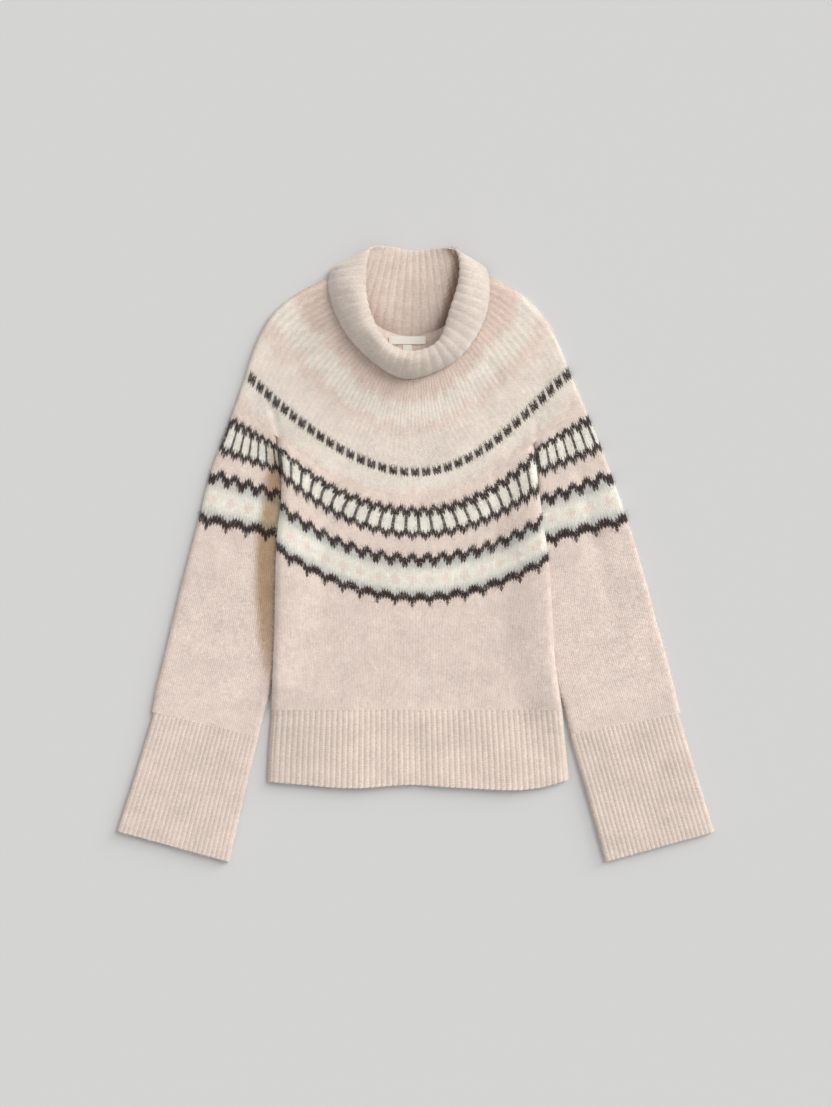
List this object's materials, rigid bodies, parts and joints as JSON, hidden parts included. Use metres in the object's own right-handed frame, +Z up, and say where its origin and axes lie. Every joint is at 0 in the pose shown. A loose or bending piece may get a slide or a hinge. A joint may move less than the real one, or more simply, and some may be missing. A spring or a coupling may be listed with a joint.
{
  "type": "fair isle jumper",
  "caption": "Loose knitted jumper with a round fair isle yoke, a turned-down roll neck, full sleeves and deep ribbed cuffs and hem, laid flat on its back.",
  "frame": {"origin": "middle of the bounding box on the surface that the jumper lies on", "axes": "+Z up from the surface towards the viewer, +Y along the jumper from the hem towards the collar, +X across it to the right of the picture"},
  "size_m": [0.7924, 0.8158, 0.0445],
  "materials": {
    "fair_isle": "brushed wool knit, cream with dark brown bands",
    "rib_knit": "brushed wool rib, cream",
    "cuff_knit": "brushed wool rib, cream",
    "collar_knit": "brushed wool rib, warm cream",
    "woven_label": "smooth woven tape"
  },
  "bodies": {
    "root": {"yoke": "fair_isle", "body_front": "fair_isle", "body_back": "fair_isle", "hem_rib_front": "rib_knit", "hem_rib_back": "rib_knit", "sleeve_left": "fair_isle", "sleeve_right": "fair_isle", "cuff_left": "cuff_knit", "cuff_right": "cuff_knit", "collar": "collar_knit", "neck_label": "woven_label", "size_tab": "woven_label"}
  },
  "joints": []
}
